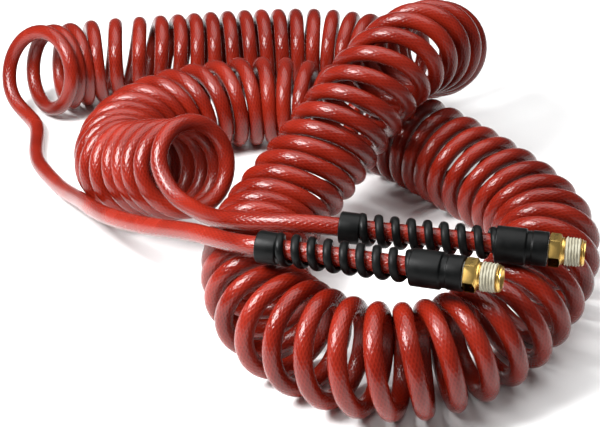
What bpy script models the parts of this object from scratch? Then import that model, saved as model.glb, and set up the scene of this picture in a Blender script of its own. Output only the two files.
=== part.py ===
"""Self-storing coiled air hose, laid down in a loop, with a swivelling male fitting at each end.

The hose is one curly tube. Each stretch of its coil is a plain tube of the coil's outer diameter, and the two
straight tails are plain tubes of the hose's own diameter. Every piece of both end fittings is modelled.
The object stands on z = 0 with the middle of its footprint at the origin.
"""

import math

import bmesh
import bpy
import numpy as np
from mathutils import Matrix

MM = 0.001

# Hose and coil
HOSE_DIAMETER = 9.5
HOSE_BORE = 6.35
COIL_DIAMETER = 57.0
JOINT_GAP = 0.3
COIL_SIDES_RESOLUTION = 4
TAIL_SIDES_RESOLUTION = 3
COIL_STEP = 11.0
TAIL_STEP = 2.4 * HOSE_DIAMETER

# Fitting: stations along its own axis, from the mouth of the bend restrictor to the tip of the thread
COLLAR_END = 10.5
SLEEVE_START = 77.0
SLEEVE_GROOVE = (91.5, 95.0)
SLEEVE_END = 102.4
FERRULE = (80.5, 101.4)
HOSE_END = 97.5
STEM_START = 81.2
STEM_FLANGE = (97.9, 99.9)
STEM_END = 113.0
WASHER = (101.7, 102.5)
HEX_START = 102.8
HEX_END = 108.6
THREAD_START = 110.6
TIP = 120.0
O_RING_AT = 106.0
RETAINER = (110.4, 111.2)
SEALANT = (110.9, 117.9)

# Fitting: radii
COLLAR_RADIUS = 7.85
SLEEVE_RADIUS = 9.1
END_RING_RADIUS = 8.5
GROOVE_RADIUS = 8.1
STRAND_RADIUS = 1.6
STRAND_PITCH = 8.1
FERRULE_RADIUS = 6.5
STEM_BORE = 1.9
SPIGOT_RADIUS = 3.5
BODY_BORE = 3.8
WATERWAY = 2.1
SEAT_RADIUS = 4.6
SEAT_DEPTH = 2.4
HEX_ACROSS_FLATS = 14.3
THREAD_RADIUS = 6.85
THREAD_PITCH = 25.4 / 18
THREAD_DEPTH = 0.9
THREAD_TAPER = 1 / 32
CLEARANCE = 0.3
TURNED_STEPS = 20
STRAND_STEPS_PER_TURN = 10

# Where the layout's footprint has its middle, in the coordinates of the routes below
LAYOUT_MIDDLE = (1.0, 0.0)

# The coil's axis: x, y, z and how many turns have been wound by there
COIL_AXIS = (
    (-155, 136, 35, 0.5), (-123, 168, 28.9, 3.75), (-90, 175, 29.4, 6.1), (-56, 182, 29, 8.9),
    (-23, 187, 29, 11.6), (9, 190, 29, 14.4), (42, 188, 29, 17.2), (77, 171, 32, 20),
    (103, 134, 49, 22.5), (106, 91, 72, 24.8), (90, 55, 86, 27.1), (71, 29, 84, 29.3),
    (52, 8, 70, 31.6), (35, -10, 54, 33.9), (20, -28, 41, 36.2), (5, -52, 32, 38.4),
    (-3, -80, 29, 40.7), (-4, -110, 29, 43), (2, -141, 29, 45), (25, -174, 29, 47.6),
    (58, -190, 29, 50.1), (92, -182, 29, 52.7), (120, -155, 29, 55.2), (142, -113, 29, 57.8),
    (152, -70, 29, 60.3), (141, -30, 29, 62.9), (120, 4, 29, 65.4), (97, 37, 29, 68.3),
    (67, 69, 29, 71.4), (31, 96, 29, 74.4), (-6, 106, 29, 77.2), (-44, 96, 29, 80.1),
    (-75, 71.5, 29, 83), (-86, 46.5, 29, 85), (-86.5, 21.5, 29.5, 87), (-78, -1, 34.5, 89),
    (-62.5, -17, 43.5, 91), (-48, -33, 51, 93), (-36, -43.5, 60, 94.4),
)
COIL_SECTIONS = (
    ("coil_rear_run", 1.3, 19.5),
    ("coil_rise_bend", 19.5, 27.0),
    ("coil_crossover", 27.0, 37.5),
    ("coil_left_bend", 37.5, 47.0),
    ("coil_front_run", 47.0, 55.0),
    ("coil_right_bend", 55.0, 64.5),
    ("coil_under_run", 64.5, 74.0),
    ("coil_middle_run", 74.0, 83.5),
    ("coil_end_bend", 83.5, 93.6),
)

# Each end: its restrictor's mouth, its heading and upward pitch in degrees, and its tail's route to the coil
END_A = {
    "mouth": (-1, -147, 67.1),
    "heading": -19.2,
    "pitch": 2.5,
    "tail": (
        (-17, -134, 62.5), (-31, -117, 57), (-53, -92, 46.5), (-74, -68, 37), (-94, -38, 27),
        (-109, -5, 17), (-123, 23, 9), (-137, 51, 5.3), (-144, 65.5, 5.2), (-148.5, 84, 5.2),
        (-150.5, 102, 6), (-152.5, 113.5, 6.5), (-157, 124.5, 7), (-163.5, 133.5, 9),
        (-169.5, 140, 13), (-173, 145, 18), (-175, 149, 27),
    ),
}
END_B = {
    "mouth": (39, -128, 67.1),
    "heading": -12.4,
    "pitch": 0.0,
    "tail": (
        (25, -125, 67), (10, -121.5, 66), (-5.5, -115, 63.1), (-16.5, -108, 60.2),
        (-25, -98.5, 56.2), (-33, -87, 53.2), (-40.5, -77, 52.2), (-47, -70, 53.6),
        (-52.5, -63, 57.5),
    ),
}


def clear_scene():
    for obj in list(bpy.data.objects):
        bpy.data.objects.remove(obj, do_unlink=True)


def new_collection(name):
    collection = bpy.data.collections.new(name)
    bpy.context.scene.collection.children.link(collection)
    return collection


def new_material(name, colour, roughness, metallic=0.0):
    material = bpy.data.materials.new(name)
    material.use_nodes = True
    shader = material.node_tree.nodes["Principled BSDF"]
    shader.inputs["Base Color"].default_value = (*colour, 1.0)
    shader.inputs["Roughness"].default_value = roughness
    shader.inputs["Metallic"].default_value = metallic
    return material


def spline(points, params, samples, start_slope=None):
    """Points of the natural cubic spline through points, at the sampled params. A start slope clamps that end."""
    points = np.array(points, float)
    params = np.array(params, float)
    count = len(points)
    step = np.diff(params)[:, None]
    slope = np.diff(points, axis=0) / step
    matrix = np.eye(count)
    right = np.zeros_like(points)
    for i in range(1, count - 1):
        matrix[i, i - 1 : i + 2] = step[i - 1, 0], 2 * (step[i - 1, 0] + step[i, 0]), step[i, 0]
        right[i] = 6 * (slope[i] - slope[i - 1])
    if start_slope is not None:
        matrix[0, :2] = 2 * step[0, 0], step[0, 0]
        right[0] = 6 * (slope[0] - np.array(start_slope))
    bend = np.linalg.solve(matrix, right)
    samples = np.asarray(samples, float)
    i = np.clip(np.searchsorted(params, samples, side="right") - 1, 0, count - 2)
    h = step[i]
    a = (params[i + 1] - samples)[:, None]
    b = (samples - params[i])[:, None]
    curved = (bend[i] * a**3 + bend[i + 1] * b**3) / (6 * h)
    straight = (points[i] / h - bend[i] * h / 6) * a + (points[i + 1] / h - bend[i + 1] * h / 6) * b
    return curved + straight


def laid_out(points):
    """Route coordinates, in millimetres, as places in the object's frame."""
    return (np.asarray(points, float) - (*LAYOUT_MIDDLE, 0.0)) * MM


def coil_axis(turns):
    route = np.array(COIL_AXIS, float)
    return laid_out(spline(route[:, :3], route[:, 3], turns))


def add_tube(name, points, radius, resolution, material, collection):
    """A round tube along points, with filled ends."""
    data = bpy.data.curves.new(name, "CURVE")
    data.dimensions = "3D"
    data.bevel_depth = radius
    data.bevel_resolution = resolution
    data.use_fill_caps = True
    line = data.splines.new("POLY")
    line.points.add(len(points) - 1)
    for point, place in zip(line.points, points):
        point.co = (*place, 1.0)
    data.materials.append(material)
    obj = bpy.data.objects.new(name, data)
    collection.objects.link(obj)
    return obj


def add_coil_section(name, first, last, material, collection):
    """One stretch of the coil. Both end faces are square to the axis, half a joint gap short of the joint."""
    turns = np.linspace(first, last, 200)
    places = coil_axis(turns)
    run = np.concatenate([[0.0], np.cumsum(np.linalg.norm(np.diff(places, axis=0), axis=1))])
    count = max(3, round(run[-1] / (COIL_STEP * MM)) + 1)
    middle = np.interp(np.linspace(0.0, run[-1], count)[1:-1], run, turns)
    ends = []
    for turn, way in ((first, 1.0), (last, -1.0)):
        near = coil_axis([turn - 0.01, turn, turn + 0.01])
        heading = way * (near[2] - near[0]) / np.linalg.norm(near[2] - near[0])
        face = near[1] + heading * JOINT_GAP / 2 * MM
        ends.append([face, face + heading * MM])
    points = [*ends[0], *coil_axis(middle), *reversed(ends[1])]
    return add_tube(name, points, COIL_DIAMETER / 2 * MM, COIL_SIDES_RESOLUTION, material, collection)


def end_frame(end):
    """Matrix of a fitting: its +Z runs along the fitting's axis, from the restrictor's mouth to the tip."""
    turn = Matrix.Rotation(math.radians(end["heading"]), 4, "Z")
    tilt = Matrix.Rotation(math.radians(90.0 - end["pitch"]), 4, "Y")
    return Matrix.Translation(laid_out(end["mouth"])) @ turn @ tilt


def add_tail(name, end, material, collection):
    """The straight tail: through the bend restrictor up to its ferrule, then along its route to the coil."""
    frame = end_frame(end)
    heading = np.array(frame.col[2][:3])
    mouth = np.array(frame.translation)
    deepest = (FERRULE[0] - CLEARANCE) * MM
    inside = [mouth + heading * s for s in np.linspace(deepest, 0.0, 5)]
    route = np.vstack([[mouth], laid_out(end["tail"])])
    run = np.concatenate([[0.0], np.cumsum(np.linalg.norm(np.diff(route, axis=0), axis=1))])
    count = round(run[-1] / (TAIL_STEP * MM)) + 1
    free = spline(route, run, np.linspace(0.0, run[-1], count)[1:], start_slope=-heading)
    return add_tube(name, [*inside, *free], HOSE_DIAMETER / 2 * MM, TAIL_SIDES_RESOLUTION, material, collection)


def add_turned(name, profile, material, collection):
    """A solid of revolution about its own Z. The profile lists (station, radius) down the outer side."""
    mesh = bpy.data.meshes.new(name)
    points = [(radius * MM, 0.0, station * MM) for station, radius in profile]
    count = len(points)
    closed = profile[0][1] > 0
    edges = [(i, i + 1) for i in range(count - 1)] + ([(count - 1, 0)] if closed else [])
    mesh.from_pydata(points, edges, [])
    mesh.materials.append(material)
    obj = bpy.data.objects.new(name, mesh)
    collection.objects.link(obj)
    screw = obj.modifiers.new("Turn", "SCREW")
    screw.steps = TURNED_STEPS
    screw.render_steps = TURNED_STEPS
    screw.use_merge_vertices = True
    screw.merge_threshold = 0.00001
    screw.use_smooth_shade = True
    return obj


def tube_profile(start, end, inner, outer):
    return [(end, outer), (start, outer), (start, inner), (end, inner)]


def made_mesh(obj):
    """The object with its modifiers or its curve turned into a plain, welded mesh."""
    name = obj.name
    graph = bpy.context.evaluated_depsgraph_get()
    mesh = bpy.data.meshes.new_from_object(obj.evaluated_get(graph))
    welded = bmesh.new()
    welded.from_mesh(mesh)
    bmesh.ops.remove_doubles(welded, verts=welded.verts, dist=0.000005)
    welded.to_mesh(mesh)
    welded.free()
    plain = bpy.data.objects.new(name + "_plain", mesh)
    plain.matrix_world = obj.matrix_world.copy()
    for collection in obj.users_collection:
        collection.objects.link(plain)
    bpy.data.objects.remove(obj, do_unlink=True)
    plain.name = name
    return plain


def combine(target, other, operation):
    """Boolean on target. The other piece stays as a hidden helper."""
    boolean = target.modifiers.new(other.name, "BOOLEAN")
    boolean.operation = operation
    boolean.object = other
    boolean.solver = "EXACT"
    other.hide_render = True
    other.display_type = "WIRE"


def add_restrictor(end_name, material, collection, helpers):
    """Collar, open spiral and ribbed sleeve, moulded as one piece."""
    hose_clear = HOSE_DIAMETER / 2 + CLEARANCE + 0.05
    ferrule_clear = FERRULE_RADIUS + CLEARANCE
    sleeve = [
        (SLEEVE_END, END_RING_RADIUS),
        (SLEEVE_GROOVE[1], END_RING_RADIUS),
        (SLEEVE_GROOVE[1], GROOVE_RADIUS),
        (SLEEVE_GROOVE[0], GROOVE_RADIUS),
        (SLEEVE_GROOVE[0], SLEEVE_RADIUS),
        (SLEEVE_START + 1.5, SLEEVE_RADIUS),
        (SLEEVE_START, COLLAR_RADIUS),
        (SLEEVE_START, hose_clear),
        (FERRULE[0] - 2 * CLEARANCE, hose_clear),
        (FERRULE[0] - 2 * CLEARANCE, ferrule_clear),
        (SLEEVE_END, ferrule_clear),
    ]
    restrictor = add_turned("bend_restrictor_" + end_name, sleeve, material, collection)
    collar = add_turned(
        "collar_" + end_name, tube_profile(0.0, COLLAR_END, hose_clear, COLLAR_RADIUS), material, helpers
    )
    start = COLLAR_END - 2.0
    length = SLEEVE_START + 2.0 - start
    steps = round(length / STRAND_PITCH * STRAND_STEPS_PER_TURN)
    middle_radius = HOSE_DIAMETER / 2 + CLEARANCE + STRAND_RADIUS
    points = []
    for i in range(steps + 1):
        station = start + length * i / steps
        angle = math.tau * (station - start) / STRAND_PITCH
        points.append([middle_radius * math.cos(angle), middle_radius * math.sin(angle), station])
    points = np.array(points) * MM
    strand = made_mesh(
        add_tube("strand_" + end_name, points, STRAND_RADIUS * MM, 2, material, helpers)
    )
    combine(restrictor, collar, "UNION")
    combine(restrictor, strand, "UNION")
    return restrictor, [collar, strand]


def add_swivel_body(end_name, material, collection, helpers):
    """Hexagon and tapered male thread in one piece, bored through, with a coned seat at the tip."""
    thread = [(TIP, 0.0), (TIP, THREAD_RADIUS - THREAD_DEPTH - 0.3)]
    crests = int((TIP - 0.8 - THREAD_START) / THREAD_PITCH)
    for i in range(crests):
        crest = TIP - 0.8 - (i + 0.5) * THREAD_PITCH
        radius = THREAD_RADIUS - (crest - THREAD_START) * THREAD_TAPER
        thread.append((crest + THREAD_PITCH / 2, radius - THREAD_DEPTH))
        thread.append((crest, radius))
    neck_radius = THREAD_RADIUS - THREAD_DEPTH
    thread += [(THREAD_START, neck_radius), (HEX_END - 0.3, neck_radius + 0.3), (HEX_END - 0.3, 0.0)]
    bpy.ops.mesh.primitive_cylinder_add(
        vertices=6,
        radius=HEX_ACROSS_FLATS / math.sqrt(3) * MM,
        depth=(HEX_END - HEX_START) * MM,
        location=(0.0, 0.0, 0.0),
    )
    body = bpy.context.object
    body.name = "swivel_body_" + end_name
    body.data.transform(Matrix.Translation((0.0, 0.0, (HEX_START + HEX_END) / 2 * MM)))
    body.data.materials.append(material)
    for owner in list(body.users_collection):
        owner.objects.unlink(body)
    collection.objects.link(body)
    nipple = add_turned("nipple_" + end_name, thread, material, helpers)
    groove = BODY_BORE + 1.1
    bore = [
        (TIP + 1.0, 0.0),
        (TIP + 1.0, SEAT_RADIUS),
        (TIP, SEAT_RADIUS),
        (TIP - SEAT_DEPTH, WATERWAY),
        (STEM_END + 0.4, WATERWAY),
        (STEM_END + 0.4, BODY_BORE),
        (RETAINER[1] + 0.4, BODY_BORE),
        (RETAINER[1] + 0.4, groove),
        (RETAINER[0] - 0.4, groove),
        (RETAINER[0] - 0.4, BODY_BORE),
        (HEX_START - 1.0, BODY_BORE),
        (HEX_START - 1.0, 0.0),
    ]
    cutter = add_turned("bore_" + end_name, bore, material, helpers)
    combine(body, nipple, "UNION")
    combine(body, cutter, "DIFFERENCE")
    return body, [nipple, cutter]


def add_stem(end_name, material, collection):
    """Barbed tail in the hose, flange under the ferrule's lip, and a spigot with two grooves."""
    barb, root = 2.85, 2.45
    o_groove, ring_groove = 2.4, 2.8
    outer = [
        (STEM_END, SPIGOT_RADIUS),
        (RETAINER[1] + 0.4, SPIGOT_RADIUS),
        (RETAINER[1] + 0.4, ring_groove),
        (RETAINER[0] - 0.4, ring_groove),
        (RETAINER[0] - 0.4, SPIGOT_RADIUS),
        (O_RING_AT + 0.9, SPIGOT_RADIUS),
        (O_RING_AT + 0.9, o_groove),
        (O_RING_AT - 0.9, o_groove),
        (O_RING_AT - 0.9, SPIGOT_RADIUS),
        (STEM_FLANGE[1], SPIGOT_RADIUS),
        (STEM_FLANGE[1], 5.5),
        (STEM_FLANGE[0], 5.5),
        (STEM_FLANGE[0], root),
    ]
    barb_pitch = 5.0
    for i in range(3):
        edge = STEM_FLANGE[0] - 1.5 - i * barb_pitch
        outer += [(edge, root), (edge, barb), (edge - barb_pitch + 0.6, root)]
    outer += [(STEM_START, root), (STEM_START, STEM_BORE), (STEM_END, STEM_BORE)]
    return add_turned("swivel_stem_" + end_name, outer, material, collection)


def add_ferrule(end_name, material, collection):
    """Crimped shell over the hose end, with a lip behind the stem's flange."""
    hose_clear = HOSE_DIAMETER / 2 + CLEARANCE
    flange_clear = 5.5 + CLEARANCE
    profile = [
        (FERRULE[1], FERRULE_RADIUS),
        (FERRULE[0], FERRULE_RADIUS),
        (FERRULE[0], hose_clear),
        (STEM_FLANGE[0] - CLEARANCE, hose_clear),
        (STEM_FLANGE[0] - CLEARANCE, flange_clear),
        (STEM_FLANGE[1] + CLEARANCE, flange_clear),
        (STEM_FLANGE[1] + CLEARANCE, SPIGOT_RADIUS + 0.5),
        (FERRULE[1], SPIGOT_RADIUS + 0.5),
    ]
    return add_turned("ferrule_" + end_name, profile, material, collection)


def add_o_ring(end_name, material, collection):
    section, centre = 0.4, (2.4 + BODY_BORE) / 2
    profile = []
    for i in range(8):
        angle = math.radians(90.0 - 45.0 * i)
        profile.append((O_RING_AT + section * math.sin(angle), centre + section * math.cos(angle)))
    return add_turned("o_ring_" + end_name, profile, material, collection)


def add_fitting(end_name, end, materials, collection, helpers):
    """Every piece of one end fitting. The swivelling pieces hang on an empty that lies on their axis."""
    frame = end_frame(end)
    axis = bpy.data.objects.new("swivel_axis_" + end_name, None)
    axis.empty_display_size = 0.01
    axis.matrix_world = frame
    collection.objects.link(axis)
    restrictor, restrictor_helpers = add_restrictor(end_name, materials["rubber"], collection, helpers)
    body, body_helpers = add_swivel_body(end_name, materials["brass"], collection, helpers)
    hose_end = add_turned(
        "hose_end_" + end_name,
        tube_profile(FERRULE[0] + 0.2, HOSE_END, HOSE_BORE / 2, HOSE_DIAMETER / 2),
        materials["hose"],
        collection,
    )
    washer = add_turned(
        "thrust_washer_" + end_name,
        tube_profile(*WASHER, SPIGOT_RADIUS + CLEARANCE, 6.0),
        materials["nylon"],
        collection,
    )
    retainer = add_turned(
        "retaining_ring_" + end_name,
        tube_profile(*RETAINER, 2.8 + CLEARANCE, BODY_BORE + 0.8),
        materials["steel"],
        collection,
    )
    sealant = add_turned(
        "thread_sealant_" + end_name,
        tube_profile(*SEALANT, THREAD_RADIUS + CLEARANCE, THREAD_RADIUS + 2 * CLEARANCE),
        materials["sealant"],
        collection,
    )
    pieces = [
        restrictor,
        body,
        hose_end,
        washer,
        retainer,
        sealant,
        add_stem(end_name, materials["brass"], collection),
        add_ferrule(end_name, materials["brass"], collection),
        add_o_ring(end_name, materials["seal"], collection),
    ]
    for piece in [*pieces, *restrictor_helpers, *body_helpers]:
        piece.parent = axis


def main():
    clear_scene()
    collection = new_collection("coiled_air_hose")
    helpers = new_collection("cutters_and_helpers")
    materials = {
        "hose": new_material("red_hose", (0.46, 0.035, 0.025), 0.28),
        "rubber": new_material("black_rubber", (0.012, 0.012, 0.013), 0.55),
        "brass": new_material("brass", (0.72, 0.50, 0.20), 0.25, 1.0),
        "seal": new_material("o_ring_rubber", (0.01, 0.01, 0.01), 0.5),
        "nylon": new_material("nylon", (0.75, 0.72, 0.65), 0.4),
        "steel": new_material("spring_steel", (0.45, 0.45, 0.46), 0.3, 1.0),
        "sealant": new_material("thread_sealant", (0.82, 0.80, 0.75), 0.6),
    }
    for name, first, last in COIL_SECTIONS:
        add_coil_section(name, first, last, materials["hose"], collection)
    for end_name, end in (("a", END_A), ("b", END_B)):
        add_tail("hose_tail_" + end_name, end, materials["hose"], collection)
        add_fitting(end_name, end, materials, collection, helpers)


main()
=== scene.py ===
"""Coiled air hose on a pale floor. Everything is in metres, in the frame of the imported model."""

import math

import bpy
import numpy as np
from mathutils import Matrix, Vector


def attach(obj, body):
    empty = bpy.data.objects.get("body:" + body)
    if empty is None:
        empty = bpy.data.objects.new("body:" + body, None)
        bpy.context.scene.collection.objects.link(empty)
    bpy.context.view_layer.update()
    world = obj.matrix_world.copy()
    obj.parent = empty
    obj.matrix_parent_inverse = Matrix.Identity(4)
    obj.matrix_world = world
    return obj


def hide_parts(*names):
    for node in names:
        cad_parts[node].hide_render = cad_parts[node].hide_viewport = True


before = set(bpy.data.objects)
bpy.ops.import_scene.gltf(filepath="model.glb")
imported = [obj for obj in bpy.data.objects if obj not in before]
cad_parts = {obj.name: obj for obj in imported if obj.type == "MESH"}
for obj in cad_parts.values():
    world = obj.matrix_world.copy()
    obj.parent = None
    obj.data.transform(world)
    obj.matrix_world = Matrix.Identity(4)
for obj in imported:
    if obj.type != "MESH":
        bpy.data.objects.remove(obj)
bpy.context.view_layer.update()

# Hose and coil
HOSE_DIAMETER = 0.0095
COIL_DIAMETER = 0.057
WIND_RADIUS = (COIL_DIAMETER - HOSE_DIAMETER) / 2
HOSE_SIDES = 20
STEPS_PER_TURN = 44
TAIL_STEP = 0.002

# The coil's axis: x, y, z and how many turns have been wound by there
LAYOUT_MIDDLE = (0.001, 0.0, 0.0)
COIL_AXIS = (
    (-0.155, 0.136, 0.035, 0.5), (-0.123, 0.168, 0.0289, 3.75), (-0.09, 0.175, 0.0294, 6.1),
    (-0.056, 0.182, 0.029, 8.9), (-0.023, 0.187, 0.029, 11.6), (0.009, 0.19, 0.029, 14.4),
    (0.042, 0.188, 0.029, 17.2), (0.077, 0.171, 0.032, 20.0), (0.103, 0.134, 0.049, 22.5),
    (0.106, 0.091, 0.072, 24.8), (0.09, 0.055, 0.086, 27.1), (0.071, 0.029, 0.084, 29.3),
    (0.052, 0.008, 0.07, 31.6), (0.035, -0.01, 0.054, 33.9), (0.02, -0.028, 0.041, 36.2),
    (0.005, -0.052, 0.032, 38.4), (-0.003, -0.08, 0.029, 40.7), (-0.004, -0.11, 0.029, 43.0),
    (0.002, -0.141, 0.029, 45.0), (0.025, -0.174, 0.029, 47.6), (0.058, -0.19, 0.029, 50.1),
    (0.092, -0.182, 0.029, 52.7), (0.12, -0.155, 0.029, 55.2), (0.142, -0.113, 0.029, 57.8),
    (0.152, -0.07, 0.029, 60.3), (0.141, -0.03, 0.029, 62.9), (0.12, 0.004, 0.029, 65.4),
    (0.097, 0.037, 0.029, 68.3), (0.067, 0.069, 0.029, 71.4), (0.031, 0.096, 0.029, 74.4),
    (-0.006, 0.106, 0.029, 77.2), (-0.044, 0.096, 0.029, 80.1), (-0.075, 0.0715, 0.029, 83.0),
    (-0.086, 0.0465, 0.029, 85.0), (-0.0865, 0.0215, 0.0295, 87.0), (-0.078, -0.001, 0.0345, 89.0),
    (-0.0625, -0.017, 0.0435, 91.0), (-0.048, -0.033, 0.051, 93.0), (-0.036, -0.0435, 0.06, 94.4),
)
# How far the rings lean off square to that axis: turns, sideways lean, upward lean
LEAN = (
    (0.5, 0.01, -0.17), (2.5, -0.24, 0.05), (4.2, -0.21, 0.0), (6.0, -0.17, -0.14), (11.0, -0.06, -0.05),
    (17.0, -0.02, -0.05), (22.0, 0.09, -0.06), (25.0, 0.12, -0.09), (28.0, 0.23, -0.14),
    (33.0, 0.13, -0.1), (36.5, 0.12, -0.28), (41.0, -0.03, -0.36), (45.0, -0.03, -0.27),
    (47.5, 0.08, 0.04), (52.0, -0.25, 0.11), (57.0, -0.2, 0.28), (63.0, -0.15, 0.32), (68.3, 0.1, 0.16),
    (73.0, 0.13, 0.0), (80.0, 0.12, -0.05), (83.0, 0.2, -0.13), (85.5, 0.18, -0.05), (88.0, 0.06, 0.0),
    (90.0, -0.07, 0.03), (92.0, -0.2, 0.24), (93.4, -0.27, -0.07), (94.4, -0.11, -0.14),
)
COIL_START = 0.68
COIL_END = 94.18
# The first turns have relaxed and opened out: by how much, and where that stops
FIRST_TURN_GROWTH = 0.10
GROWTH = (1.0, 2.6)

# Each end: its restrictor's mouth, its heading and upward pitch in degrees, and its tail's route to the coil
END_A = {
    "mouth": (-0.001, -0.147, 0.0671),
    "heading": -19.2,
    "pitch": 2.5,
    "tail": (
        (-0.017, -0.134, 0.0625), (-0.031, -0.117, 0.057), (-0.053, -0.092, 0.0465),
        (-0.074, -0.068, 0.037), (-0.094, -0.038, 0.027), (-0.109, -0.005, 0.017),
        (-0.123, 0.023, 0.009), (-0.137, 0.051, 0.0053), (-0.144, 0.0655, 0.0052),
        (-0.1485, 0.084, 0.0052), (-0.1505, 0.102, 0.006), (-0.1525, 0.1135, 0.0065),
        (-0.157, 0.1245, 0.007), (-0.1635, 0.1335, 0.009), (-0.1695, 0.14, 0.013),
        (-0.173, 0.145, 0.018),
    ),
}
END_B = {
    "mouth": (0.039, -0.128, 0.0671),
    "heading": -12.4,
    "pitch": 0.0,
    "tail": (
        (0.025, -0.125, 0.067), (0.01, -0.1215, 0.066), (-0.0055, -0.115, 0.0631),
        (-0.0165, -0.108, 0.0602), (-0.025, -0.0985, 0.0562), (-0.033, -0.087, 0.0532),
        (-0.0405, -0.077, 0.0522), (-0.047, -0.07, 0.0536), (-0.0525, -0.063, 0.0575),
        (-0.0555, -0.058, 0.062),
    ),
}

# Fitting: stations along its axis from the restrictor's mouth
COLLAR_END = 0.0105
SLEEVE_START = 0.077
SLEEVE_GROOVE = (0.0915, 0.0950)
SLEEVE_END = 0.1024
HOSE_INSERT = 0.0802
HEX_START = 0.1028
HEX_END = 0.1086
THREAD_START = 0.1106
TIP = 0.120

# Camera
CAMERA_PLACE = (0.019, -0.800, 0.4421)
CAMERA_DOWN = math.radians(28.66)
CAMERA_LENS = 93.1
SENSOR = 36.0

# Lights: place, what it points at, size in metres, power in watts
KEY_LIGHT = ((-0.36, -0.27, 0.50), (-0.08, -0.03, 0.03), (0.26, 0.26), 10.5)
OVERHEAD_LIGHT = ((0.08, 0.12, 1.3), (0.02, 0.0, 0.03), (1.6, 1.2), 22.0)
WORLD_STRENGTH = 0.14
FLOOR_SIZE = 6.0


def spline(points, params, samples, start_slope=None, end_slope=None):
    """Cubic spline through points, at the sampled params. A slope given for an end clamps that end."""
    points = np.array(points, float)
    params = np.array(params, float)
    count = len(points)
    step = np.diff(params)[:, None]
    slope = np.diff(points, axis=0) / step
    matrix = np.eye(count)
    right = np.zeros_like(points)
    for i in range(1, count - 1):
        matrix[i, i - 1 : i + 2] = step[i - 1, 0], 2 * (step[i - 1, 0] + step[i, 0]), step[i, 0]
        right[i] = 6 * (slope[i] - slope[i - 1])
    if start_slope is not None:
        matrix[0, :2] = 2 * step[0, 0], step[0, 0]
        right[0] = 6 * (slope[0] - np.array(start_slope))
    if end_slope is not None:
        matrix[-1, -2:] = step[-1, 0], 2 * step[-1, 0]
        right[-1] = 6 * (np.array(end_slope) - slope[-1])
    bend = np.linalg.solve(matrix, right)
    samples = np.asarray(samples, float)
    i = np.clip(np.searchsorted(params, samples, side="right") - 1, 0, count - 2)
    h = step[i]
    a = (params[i + 1] - samples)[:, None]
    b = (samples - params[i])[:, None]
    curved = (bend[i] * a**3 + bend[i + 1] * b**3) / (6 * h)
    straight = (points[i] / h - bend[i] * h / 6) * a + (points[i + 1] / h - bend[i + 1] * h / 6) * b
    return curved + straight


def laid_out(points):
    return np.asarray(points, float) - LAYOUT_MIDDLE


def unit(vectors):
    return vectors / np.linalg.norm(vectors, axis=-1, keepdims=True)


def run_length(points):
    return np.concatenate([[0.0], np.cumsum(np.linalg.norm(np.diff(points, axis=0), axis=1))])


def wound_coil(turns):
    """The hose's centreline along the coil: a right-handed helix about the axis, on rings that lean."""
    route = np.array(COIL_AXIS)
    lean = np.array(LEAN)
    small = 0.02
    centre = laid_out(spline(route[:, :3], route[:, 3], turns))
    ahead = laid_out(spline(route[:, :3], route[:, 3], turns + small))
    behind = laid_out(spline(route[:, :3], route[:, 3], turns - small))
    along = unit(ahead - behind)
    side = unit(np.cross([0.0, 0.0, 1.0], along))
    over = np.cross(along, side)
    tilt = spline(lean[:, 1:], lean[:, 0], turns)
    normal = unit(along + tilt[:, :1] * side + tilt[:, 1:] * over)
    up = unit(np.array([0.0, 0.0, 1.0]) - normal[:, 2:] * normal)
    out = np.cross(normal, up)
    angle = (math.tau * turns)[:, None]
    opened = np.clip((GROWTH[1] - turns) / (GROWTH[1] - GROWTH[0]), 0.0, 1.0)
    radius = WIND_RADIUS * (1.0 + FIRST_TURN_GROWTH * opened)[:, None]
    return centre + radius * (np.cos(angle) * up + np.sin(angle) * out)


def end_frame(end):
    """Matrix of a fitting: its +Z runs along the fitting's axis, from the restrictor's mouth to the tip."""
    turn = Matrix.Rotation(math.radians(end["heading"]), 4, "Z")
    tilt = Matrix.Rotation(math.radians(90.0 - end["pitch"]), 4, "Y")
    return Matrix.Translation(laid_out(end["mouth"])) @ turn @ tilt


def tail_line(end, coil_point, coil_slope):
    """From the bottom of the ferrule, out of the restrictor and along the tail's route, up to the coil."""
    matrix = end_frame(end)
    heading = np.array(matrix.col[2][:3])
    mouth = np.array(matrix.translation)
    inside = mouth + heading * np.linspace(HOSE_INSERT, 0.0, round(HOSE_INSERT / TAIL_STEP))[:-1, None]
    route = np.vstack([[mouth], laid_out(end["tail"]), [coil_point]])
    run = run_length(route)
    samples = np.linspace(0.0, run[-1], round(run[-1] / TAIL_STEP))[:-1]
    free = spline(route, run, samples, start_slope=-heading, end_slope=coil_slope)
    return np.vstack([inside, free])


def hose_line():
    """The whole centreline, from ferrule A to ferrule B."""
    turns = np.linspace(COIL_START, COIL_END, round((COIL_END - COIL_START) * STEPS_PER_TURN))
    coil = wound_coil(turns)
    first = unit(coil[1] - coil[0])
    last = unit(coil[-1] - coil[-2])
    tail_a = tail_line(END_A, coil[0], first)
    tail_b = tail_line(END_B, coil[-1], -last)
    return np.vstack([tail_a, coil, tail_b[::-1]])


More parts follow.
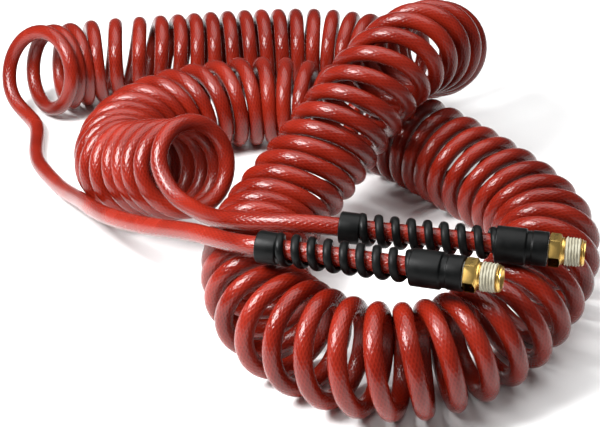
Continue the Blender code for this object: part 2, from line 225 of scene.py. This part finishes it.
def tube_mesh(name, line, radius, sides):
    """A closed tube along line whose rings don't twist. Its UV is turns around and metres along."""
    along = unit(np.gradient(line, axis=0))
    across = np.zeros_like(line)
    across[0] = unit(np.cross(along[0], [0.0, 0.0, 1.0]))
    for i in range(1, len(line)):
        carried = across[i - 1] - along[i] * np.dot(across[i - 1], along[i])
        across[i] = carried / np.linalg.norm(carried)
    over = np.cross(along, across)
    angle = np.arange(sides) * math.tau / sides
    ring = np.cos(angle)[None, :, None] * across[:, None] + np.sin(angle)[None, :, None] * over[:, None]
    verts = (line[:, None] + radius * ring).reshape(-1, 3)
    i, k = np.meshgrid(np.arange(len(line) - 1), np.arange(sides), indexing="ij")
    i, k = i.ravel(), k.ravel()
    nearer = i * sides
    farther = nearer + sides
    after = (k + 1) % sides
    quads = np.stack([nearer + k, nearer + after, farther + after, farther + k], axis=1)
    caps = [list(range(sides))[::-1], list(range((len(line) - 1) * sides, len(line) * sides))]
    mesh = bpy.data.meshes.new(name)
    mesh.from_pydata(verts.tolist(), [], quads.tolist() + caps)
    run = run_length(line)
    around = np.stack([k, k + 1, k + 1, k], axis=1) / sides
    length = np.stack([run[i], run[i], run[i + 1], run[i + 1]], axis=1)
    uv = np.zeros((len(mesh.loops), 2))
    uv[: around.size] = np.stack([around.ravel(), length.ravel()], axis=1)
    layer = mesh.uv_layers.new(name="UVMap")
    layer.data.foreach_set("uv", uv.ravel())
    mesh.shade_smooth()
    mesh.validate()
    return mesh


def link(obj):
    bpy.context.scene.collection.objects.link(obj)
    return obj


# ---------------------------------------------------------------- materials


class Graph:
    """Short calls for building one material's nodes."""

    def __init__(self, name):
        self.material = bpy.data.materials.new(name)
        self.material.use_nodes = True
        self.tree = self.material.node_tree
        self.shader = self.tree.nodes["Principled BSDF"]

    def plug(self, value, socket):
        if isinstance(value, bpy.types.NodeSocket):
            self.tree.links.new(value, socket)
        else:
            socket.default_value = value

    def node(self, kind, **inputs):
        made = self.tree.nodes.new(kind)
        for key, value in inputs.items():
            self.plug(value, made.inputs[key.replace("_", " ")])
        return made

    def math(self, operation, a, b=0.0):
        made = self.tree.nodes.new("ShaderNodeMath")
        made.operation = operation
        self.plug(a, made.inputs[0])
        self.plug(b, made.inputs[1])
        return made.outputs[0]

    def noise(self, scale, detail=2.0):
        place_on_object = self.tree.nodes.new("ShaderNodeTexCoord").outputs["Object"]
        made = self.node("ShaderNodeTexNoise", Scale=scale, Detail=detail, Vector=place_on_object)
        return made.outputs["Fac"]

    def mix(self, factor, a, b):
        made = self.tree.nodes.new("ShaderNodeMix")
        made.data_type = "RGBA"
        self.plug(factor, made.inputs["Factor"])
        self.plug(a, made.inputs["A"])
        self.plug(b, made.inputs["B"])
        return made.outputs["Result"]

    def ramp(self, factor, low, high):
        made = self.tree.nodes.new("ShaderNodeMapRange")
        made.interpolation_type = "SMOOTHSTEP"
        self.plug(factor, made.inputs["Value"])
        made.inputs["From Min"].default_value = low
        made.inputs["From Max"].default_value = high
        return made.outputs["Result"]

    def bump(self, height, strength, distance, below=None):
        made = self.node("ShaderNodeBump", Height=height, Strength=strength, Distance=distance)
        if below is not None:
            self.plug(below, made.inputs["Normal"])
        return made.outputs["Normal"]

    def set(self, **inputs):
        for key, value in inputs.items():
            self.plug(value, self.shader.inputs[key.replace("_", " ")])
        return self.material


# Yarns that wind each way round the hose, and the length of hose in which one diamond repeats
BRAID_YARNS = 16
BRAID_PITCH = 0.0038


def hose_material():
    """Glossy red cover over a braid that shows through as a fine criss-cross relief."""
    g = Graph("red_hose_cover")
    uv = g.tree.nodes.new("ShaderNodeUVMap")
    uv.uv_map = "UVMap"
    parts = g.node("ShaderNodeSeparateXYZ", Vector=uv.outputs["UV"])
    around = g.math("MULTIPLY", parts.outputs["X"], BRAID_YARNS * math.tau)
    along = g.math("MULTIPLY", parts.outputs["Y"], math.tau / BRAID_PITCH)
    one_way = g.math("SINE", g.math("ADD", around, along))
    other_way = g.math("SINE", g.math("SUBTRACT", around, along))
    braid = g.math("MAXIMUM", one_way, other_way)
    yarn = g.ramp(braid, -0.4, 1.0)
    mottle = g.noise(38.0, 3.0)
    fine = g.noise(900.0, 2.0)
    deep = (0.094, 0.0040, 0.0015, 1.0)
    bright = (0.235, 0.0145, 0.0052, 1.0)
    tone = g.math("ADD", g.math("MULTIPLY", yarn, 0.30), g.math("MULTIPLY", g.ramp(mottle, 0.3, 0.7), 0.45))
    colour = g.mix(tone, deep, bright)
    grain = g.bump(fine, 0.08, 0.0004)
    relief = g.bump(yarn, 0.36, 0.00026, grain)
    gloss = g.math("ADD", 0.20, g.math("MULTIPLY", g.ramp(mottle, 0.35, 0.75), 0.10))
    return g.set(
        Base_Color=colour,
        Roughness=gloss,
        Normal=relief,
        IOR=1.45,
        Specular_IOR_Level=0.33,
        Coat_Weight=0.10,
        Coat_Roughness=0.10,
    )


def rubber_material():
    """Black moulded rubber with a fine matt grain and faint rubbed patches."""
    g = Graph("moulded_black_rubber")
    grain = g.noise(2600.0, 3.0)
    patches = g.noise(90.0, 4.0)
    colour = g.mix(g.ramp(patches, 0.35, 0.75), (0.0016, 0.0018, 0.0018, 1.0), (0.0040, 0.0043, 0.0042, 1.0))
    rough = g.math("ADD", 0.36, g.math("MULTIPLY", g.ramp(patches, 0.3, 0.7), 0.14))
    return g.set(
        Base_Color=colour,
        Roughness=rough,
        Normal=g.bump(grain, 0.18, 0.0002),
        Specular_IOR_Level=0.12,
    )


def brass_material():
    """Machined brass with a fine grain and a little tarnish."""
    g = Graph("turned_brass")
    marks = g.noise(1500.0, 3.0)
    tarnish = g.noise(220.0, 4.0)
    colour = g.mix(g.ramp(tarnish, 0.35, 0.75), (0.66, 0.44, 0.135, 1.0), (0.44, 0.275, 0.075, 1.0))
    rough = g.math("ADD", 0.26, g.math("MULTIPLY", g.ramp(tarnish, 0.3, 0.7), 0.16))
    return g.set(
        Base_Color=colour,
        Metallic=1.0,
        Roughness=rough,
        Normal=g.bump(marks, 0.12, 0.0001),
    )


def sealant_material():
    """Dried white thread sealant, chalky and a little uneven."""
    g = Graph("white_thread_sealant")
    lumps = g.noise(700.0, 4.0)
    stain = g.noise(160.0, 3.0)
    colour = g.mix(g.ramp(stain, 0.35, 0.7), (0.33, 0.312, 0.235, 1.0), (0.22, 0.20, 0.14, 1.0))
    return g.set(Base_Color=colour, Roughness=0.62, Normal=g.bump(lumps, 0.35, 0.0003))


# Finishes of the hidden parts: name, two tones, roughness, metallic, scale of the patches
HIDDEN_FINISHES = {
    "seal": ("o_ring_rubber", (0.01, 0.01, 0.01, 1), (0.03, 0.03, 0.03, 1), 0.4, 0.0, 300.0),
    "steel": ("spring_steel", (0.40, 0.40, 0.42, 1), (0.6, 0.6, 0.6, 1), 0.25, 1.0, 300.0),
    "nylon": ("white_nylon", (0.72, 0.70, 0.64, 1), (0.8, 0.78, 0.72, 1), 0.35, 0.0, 200.0),
    "hose_end": ("cut_hose", (0.34, 0.015, 0.01, 1), (0.5, 0.03, 0.02, 1), 0.3, 0.0, 200.0),
}


def plain_material(name, low, high, roughness, metallic, scale):
    """A small hidden part: two close tones and a fine grain."""
    g = Graph(name)
    patches = g.noise(scale, 3.0)
    rough = g.math("ADD", roughness, g.math("MULTIPLY", patches, 0.12))
    return g.set(
        Base_Color=g.mix(patches, low, high),
        Roughness=rough,
        Metallic=metallic,
        Normal=g.bump(g.noise(scale * 8.0), 0.1, 0.0001),
    )


# ---------------------------------------------------------------- pieces of a fitting


def turned_mesh(name, profile, sides=96, wobble=None):
    """Closed solid of revolution about Z from a closed loop of (station, radius), down its outer side."""
    loop = np.array(profile, float)
    count = len(loop)
    angle = np.arange(sides) * math.tau / sides
    radius = np.repeat(loop[None, :, 1], sides, axis=0)
    station = np.repeat(loop[None, :, 0], sides, axis=0)
    if wobble is not None:
        radius = radius + wobble(angle[:, None], station, radius)
    verts = np.stack([radius * np.cos(angle)[:, None], radius * np.sin(angle)[:, None], station], axis=2)
    i, k = np.meshgrid(np.arange(sides), np.arange(count), indexing="ij")
    i, k = i.ravel(), k.ravel()
    j, m = (i + 1) % sides, (k + 1) % count
    quads = np.stack([i * count + k, i * count + m, j * count + m, j * count + k], axis=1)
    mesh = bpy.data.meshes.new(name)
    mesh.from_pydata(verts.reshape(-1, 3).tolist(), [], quads.tolist())
    mesh.validate()
    return mesh


def rounded(profile, radius, steps=5):
    """The closed profile with its corners turned into arcs of that radius, or less where sides are short."""
    points = np.array(profile, float)
    count = len(points)
    made = []
    for i in range(count):
        before, corner, after = points[i - 1], points[i], points[(i + 1) % count]
        back, ahead = before - corner, after - corner
        reach = min(radius, 0.45 * np.linalg.norm(back), 0.45 * np.linalg.norm(ahead))
        start, end = corner + unit(back) * reach, corner + unit(ahead) * reach
        for t in np.linspace(0.0, 1.0, steps):
            made.append((1 - t) ** 2 * start + 2 * t * (1 - t) * corner + t**2 * end)
    return made


def place(name, mesh, matrix, material, smooth_angle=35.0):
    mesh.materials.append(material)
    mesh.shade_smooth()
    mesh.set_sharp_from_angle(angle=math.radians(smooth_angle))
    obj = link(bpy.data.objects.new(name, mesh))
    obj.matrix_world = matrix
    return obj


COLLAR_RADIUS = 0.00785
SLEEVE_RADIUS = 0.0091
END_RING_RADIUS = 0.0085
GROOVE_RADIUS = 0.0081
HOSE_CLEAR = 0.0051
FERRULE_CLEAR = 0.0068
STRAND_PITCH = 0.0081
STRAND_HALF_WIDTH = 0.0022
STRAND_HALF_DEPTH = 0.0016
STRAND_MIDDLE = 0.00665
STRAND_ROOT = 0.002
STRAND_FIRST_ANGLE = math.radians(60)
STRAND_SIDES = 16
STRAND_STEPS_PER_TURN = 48


def restrictor_piece(end_name, matrix, material):
    """Collar, open spiral and ribbed sleeve of the bend restrictor, joined into one moulding."""
    collar = turned_mesh(
        "collar",
        rounded(
            [
                (COLLAR_END, COLLAR_RADIUS - 0.0001),
                (0.0, COLLAR_RADIUS + 0.0002),
                (0.0, HOSE_CLEAR),
                (COLLAR_END, HOSE_CLEAR),
            ],
            0.0009,
        ),
    )
    sleeve = turned_mesh(
        "sleeve",
        rounded(
            [
                (SLEEVE_END, END_RING_RADIUS),
                (SLEEVE_GROOVE[1], END_RING_RADIUS),
                (SLEEVE_GROOVE[1] - 0.0005, GROOVE_RADIUS),
                (SLEEVE_GROOVE[0] + 0.0005, GROOVE_RADIUS),
                (SLEEVE_GROOVE[0], SLEEVE_RADIUS),
                (SLEEVE_START, SLEEVE_RADIUS),
                (SLEEVE_START, HOSE_CLEAR),
                (HOSE_INSERT - 0.0003, HOSE_CLEAR),
                (HOSE_INSERT - 0.0003, FERRULE_CLEAR),
                (SLEEVE_END, FERRULE_CLEAR),
            ],
            0.0008,
        ),
    )
    start = COLLAR_END - STRAND_ROOT
    length = SLEEVE_START + STRAND_ROOT - start
    steps = round(length / STRAND_PITCH * STRAND_STEPS_PER_TURN)
    sides = STRAND_SIDES
    verts = []
    for i in range(steps + 1):
        station = start + length * i / steps
        angle = math.tau * (station - start) / STRAND_PITCH + STRAND_FIRST_ANGLE
        for k in range(sides):
            turn = math.tau * k / sides
            radius = STRAND_MIDDLE + STRAND_HALF_DEPTH * math.cos(turn)
            z = station + STRAND_HALF_WIDTH * math.sin(turn)
            verts.append((radius * math.cos(angle), radius * math.sin(angle), z))
    faces = [list(range(sides)), list(range(steps * sides, (steps + 1) * sides))[::-1]]
    for i in range(steps):
        for k in range(sides):
            m = (k + 1) % sides
            faces.append([i * sides + m, i * sides + k, (i + 1) * sides + k, (i + 1) * sides + m])
    strand = bpy.data.meshes.new("strand")
    strand.from_pydata(verts, [], faces)
    strand.validate()
    moulding = place("bend_restrictor_moulding_" + end_name, sleeve, matrix, material, 50.0)
    for mesh in (collar, strand):
        helper = link(bpy.data.objects.new(mesh.name, mesh))
        helper.matrix_world = matrix
        union = moulding.modifiers.new("Union", "BOOLEAN")
        union.operation = "UNION"
        union.solver = "EXACT"
        union.object = helper
    apply_modifiers(moulding)
    moulding.data.shade_smooth()
    moulding.data.set_sharp_from_angle(angle=math.radians(50.0))
    return moulding


def apply_modifiers(obj):
    """Bakes the modifiers into the mesh and removes the helper objects that they used."""
    bpy.context.view_layer.update()
    helpers = [modifier.object for modifier in obj.modifiers if modifier.type == "BOOLEAN"]
    graph = bpy.context.evaluated_depsgraph_get()
    mesh = bpy.data.meshes.new_from_object(obj.evaluated_get(graph))
    obj.modifiers.clear()
    obj.data = mesh
    for helper in helpers:
        bpy.data.objects.remove(helper, do_unlink=True)


BODY_SIDES = 144
SEALANT_SIDES = 120
SEALANT_START = THREAD_START + 0.0001
SEALANT_END = TIP - 0.0023
HEX_ACROSS_FLATS = 0.0143
BODY_BORE = 0.0038
WATERWAY = 0.0021
SEAT_RADIUS = 0.0046
THREAD_RADIUS = 0.00685
THREAD_PITCH = 0.0254 / 18
THREAD_DEPTH = 0.0009
THREAD_TAPER = 1 / 32


def thread_offset(station, angle, depth):
    """Distance below the crest of a right-handed V thread with rounded crests and roots."""
    phase = (station / THREAD_PITCH - angle / math.tau) % 1.0
    tooth = 1.0 - np.abs(2.0 * phase - 1.0)
    return depth * (1.0 - np.clip(tooth * 1.25 - 0.1, 0.0, 1.0))


def body_piece(end_name, matrix, material):
    """Hexagon with chamfered corners, neck and tapered male thread, bored through with a coned seat."""
    stations = np.arange(TIP - 0.0006, THREAD_START, -THREAD_PITCH / 14)
    outer = [(TIP, 0.0058)]
    outer += [(s, THREAD_RADIUS - (s - THREAD_START) * THREAD_TAPER) for s in stations]
    threads = len(outer)
    outer += [
        (THREAD_START - 0.0003, 0.0059),
        (THREAD_START - 0.0008, 0.0059),
        (THREAD_START - 0.0009, 0.00665),
        (HEX_END + 0.0003, 0.00665),
        (HEX_END, 0.0069),
        (HEX_END - 0.0005, 0.0069),
        (HEX_END - 0.0005, BODY_BORE),
        (TIP - 0.0064, BODY_BORE),
        (TIP - 0.0064, WATERWAY),
        (TIP - 0.0024, WATERWAY),
        (TIP - 0.0002, SEAT_RADIUS),
        (TIP, SEAT_RADIUS + 0.0001),
    ]

    def cut_thread(angle, station, radius):
        depth = np.zeros_like(radius)
        column = np.arange(radius.shape[1])
        threaded = (column > 0) & (column < threads)
        depth[:, threaded] = thread_offset(station, angle, THREAD_DEPTH)[:, threaded]
        return -depth

    turned = turned_mesh("nipple", outer, BODY_SIDES, cut_thread)
    nipple = place("male_body_" + end_name, turned, matrix, material)
    hexagon = bpy.data.meshes.new("hexagon")
    corner = HEX_ACROSS_FLATS / math.sqrt(3)
    spin = math.radians(30)
    hex_verts = [
        (corner * math.cos(spin + math.tau * i / 6), corner * math.sin(spin + math.tau * i / 6), z)
        for z in (HEX_START, HEX_END)
        for i in range(6)
    ]
    hex_faces = [list(range(6))[::-1], list(range(6, 12))]
    hex_faces += [[i, (i + 1) % 6, 6 + (i + 1) % 6, 6 + i] for i in range(6)]
    hexagon.from_pydata(hex_verts, [], hex_faces)
    hexagon.validate()
    hex_obj = link(bpy.data.objects.new("hexagon", hexagon))
    hex_obj.matrix_world = matrix
    chamfer = turned_mesh(
        "chamfer",
        [
            (HEX_END + 0.0001, 0.0067),
            (HEX_END - 0.0009, corner + 0.0002),
            (HEX_START + 0.0006, corner + 0.0002),
            (HEX_START - 0.0001, 0.0070),
            (HEX_START - 0.0001, BODY_BORE),
            (HEX_END + 0.0001, BODY_BORE),
        ],
        BODY_SIDES,
    )
    cutter = link(bpy.data.objects.new("chamfer", chamfer))
    cutter.matrix_world = matrix
    shape = hex_obj.modifiers.new("Chamfer", "BOOLEAN")
    shape.operation = "INTERSECT"
    shape.solver = "EXACT"
    shape.object = cutter
    edge = hex_obj.modifiers.new("Edge", "BEVEL")
    edge.width = 0.00012
    edge.segments = 2
    edge.limit_method = "ANGLE"
    edge.angle_limit = math.radians(25)
    apply_modifiers(hex_obj)
    union = nipple.modifiers.new("Union", "BOOLEAN")
    union.operation = "UNION"
    union.solver = "EXACT"
    union.object = hex_obj
    apply_modifiers(nipple)
    nipple.data.shade_smooth()
    nipple.data.set_sharp_from_angle(angle=math.radians(32.0))
    return nipple


def sealant_piece(end_name, matrix, material):
    """A skin of sealant that follows the thread and fills most of its roots."""
    low, high = SEALANT_START, SEALANT_END
    stations = np.arange(high, low, -THREAD_PITCH / 12)

    def skin(station):
        return THREAD_RADIUS - (station - THREAD_START) * THREAD_TAPER

    profile = [(high + 0.0002, skin(high) - 0.0006)]
    profile += [(s, skin(s) + 0.00028) for s in stations]
    outside = len(profile)
    profile += [(low - 0.0002, skin(low) - 0.0006), (low, 0.0057), (high, 0.0057)]

    def follow(angle, station, radius):
        column = np.arange(radius.shape[1])
        outer = (column > 0) & (column < outside)
        relief = np.zeros_like(radius)
        relief[:, outer] = -thread_offset(station, angle, 0.00048)[:, outer]
        lumps = 0.00007 * (np.sin(5 * angle + station * 2100) + np.sin(11 * angle - station * 3300 + 1.7))
        relief[:, outer] += (lumps * np.ones_like(radius))[:, outer]
        return relief

    mesh = turned_mesh("sealant", profile, SEALANT_SIDES, follow)
    return place("dried_sealant_" + end_name, mesh, matrix, material, 60.0)


def make_fitting(end_name, end, materials):
    matrix = end_frame(end)
    swivel = "swivel_" + end_name
    restrictor = restrictor_piece(end_name, matrix, materials["rubber"])
    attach(restrictor, "hose_assembly")
    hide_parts("bend_restrictor_" + end_name)
    body = body_piece(end_name, matrix, materials["brass"])
    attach(body, swivel)
    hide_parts("swivel_body_" + end_name)
    sealant = sealant_piece(end_name, matrix, materials["sealant"])
    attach(sealant, swivel)
    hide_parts("thread_sealant_" + end_name)
    kept = {
        "ferrule": "brass",
        "swivel_stem": "brass",
        "o_ring": "seal",
        "retaining_ring": "steel",
        "thrust_washer": "nylon",
        "hose_end": "hose_end",
    }
    for node, finish in kept.items():
        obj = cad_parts[f"{node}_{end_name}"]
        obj.data.materials.clear()
        obj.data.materials.append(materials[finish])
    return [restrictor, body, sealant, *(f"{node}_{end_name}" for node in kept)]


# ---------------------------------------------------------------- hose, floor, light, camera

COIL_NODES = [
    "coil_" + name
    for name in (
        "rear_run", "rise_bend", "crossover", "left_bend", "front_run",
        "right_bend", "under_run", "middle_run", "end_bend",
    )
]


def make_hose(materials):
    line = hose_line()
    mesh = tube_mesh("curly_hose", line, HOSE_DIAMETER / 2, HOSE_SIDES)
    mesh.materials.append(materials["hose"])
    hose = link(bpy.data.objects.new("curly_hose", mesh))
    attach(hose, "hose_assembly")
    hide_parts(*COIL_NODES, "hose_tail_a", "hose_tail_b")
    return hose


def add_floor():
    bpy.ops.mesh.primitive_plane_add(size=FLOOR_SIZE, location=(0.0, 0.0, 0.0))
    floor = bpy.context.object
    floor.name = "floor"
    g = Graph("pale_floor")
    tone = g.mix(g.noise(3.0, 2.0), (0.86, 0.86, 0.86, 1.0), (0.89, 0.89, 0.89, 1.0))
    floor.data.materials.append(g.set(Base_Color=tone, Roughness=0.9, Specular_IOR_Level=0.1))


def aimed(place_at, target):
    return (Vector(target) - Vector(place_at)).to_track_quat("-Z", "Y").to_euler()


def add_light(name, place_at, target, size, power):
    data = bpy.data.lights.new(name, "AREA")
    data.shape = "RECTANGLE"
    data.size, data.size_y = size
    data.energy = power
    light = link(bpy.data.objects.new(name, data))
    light.location = place_at
    light.rotation_euler = aimed(place_at, target)
    return light


def add_world():
    world = bpy.data.worlds.new("studio")
    bpy.context.scene.world = world
    world.use_nodes = True
    background = world.node_tree.nodes["Background"]
    background.inputs["Color"].default_value = (1.0, 1.0, 1.0, 1.0)
    background.inputs["Strength"].default_value = WORLD_STRENGTH


def add_camera():
    data = bpy.data.cameras.new("camera")
    data.sensor_width = SENSOR
    data.lens = CAMERA_LENS
    data.clip_start = 0.01
    camera = link(bpy.data.objects.new("camera", data))
    camera.location = laid_out(CAMERA_PLACE)
    camera.rotation_euler = (math.pi / 2 - CAMERA_DOWN, 0.0, 0.0)
    bpy.context.scene.camera = camera


def main():
    bpy.context.scene.view_settings.view_transform = "Standard"
    materials = {
        "hose": hose_material(),
        "rubber": rubber_material(),
        "brass": brass_material(),
        "sealant": sealant_material(),
        **{finish: plain_material(*values) for finish, values in HIDDEN_FINISHES.items()},
    }
    make_fitting("a", END_A, materials)
    far_pieces = make_fitting("b", END_B, materials)
    make_hose(materials)
    add_floor()
    add_world()
    add_light("key", *KEY_LIGHT)
    add_light("overhead", *OVERHEAD_LIGHT)
    add_camera()


main()
